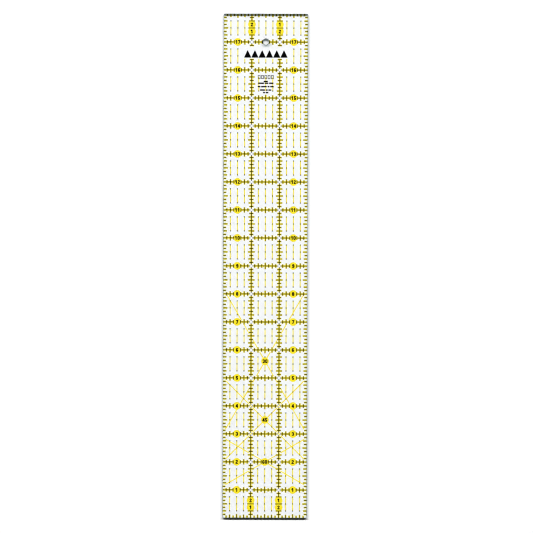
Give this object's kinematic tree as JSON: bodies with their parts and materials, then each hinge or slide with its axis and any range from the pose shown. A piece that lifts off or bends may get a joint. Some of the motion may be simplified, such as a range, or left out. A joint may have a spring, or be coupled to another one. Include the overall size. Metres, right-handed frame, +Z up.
{
  "type": "quilting ruler",
  "caption": "Clear acrylic quilting ruler for rotary cutting, 3 by 18 inches, printed underneath with a black and yellow inch grid, angle lines and a hanging hole.",
  "frame": {"origin": "centre of the printed underside, on the surface the ruler lies on", "axes": "+X across the ruler, +Y along it towards the hanging hole, +Z up out of the readable face"},
  "size_m": [0.0762, 0.4572, 0.003],
  "materials": {
    "clear_acrylic": "clear cast acrylic sheet, polished faces, fine machined edges",
    "yellow_ink": "opaque yellow screen ink, satin",
    "black_ink": "opaque black screen ink, satin"
  },
  "bodies": {
    "root": {"acrylic_blade": "clear_acrylic", "yellow_left_edge_ticks": "yellow_ink", "yellow_right_edge_ticks": "yellow_ink", "yellow_bottom_end_ticks": "yellow_ink", "yellow_top_end_ticks": "yellow_ink", "yellow_inch_bands": "yellow_ink", "yellow_column_bands": "yellow_ink", "yellow_quarter_dashes": "yellow_ink", "yellow_angle_30_lines": "yellow_ink", "yellow_angle_45_lines": "yellow_ink", "yellow_angle_60_lines": "yellow_ink", "yellow_inch_spots": "yellow_ink", "yellow_column_spots": "yellow_ink", "yellow_angle_spots": "yellow_ink", "black_left_edge_ticks": "black_ink", "black_right_edge_ticks": "black_ink", "black_bottom_end_ticks": "black_ink", "black_top_end_ticks": "black_ink", "black_inch_lines": "black_ink", "black_column_lines": "black_ink", "black_quarter_dots": "black_ink", "black_inch_numbers": "black_ink", "black_column_numbers": "black_ink", "black_angle_numbers": "black_ink", "black_patchwork_badge": "black_ink", "black_care_bars": "black_ink"}
  },
  "joints": []
}
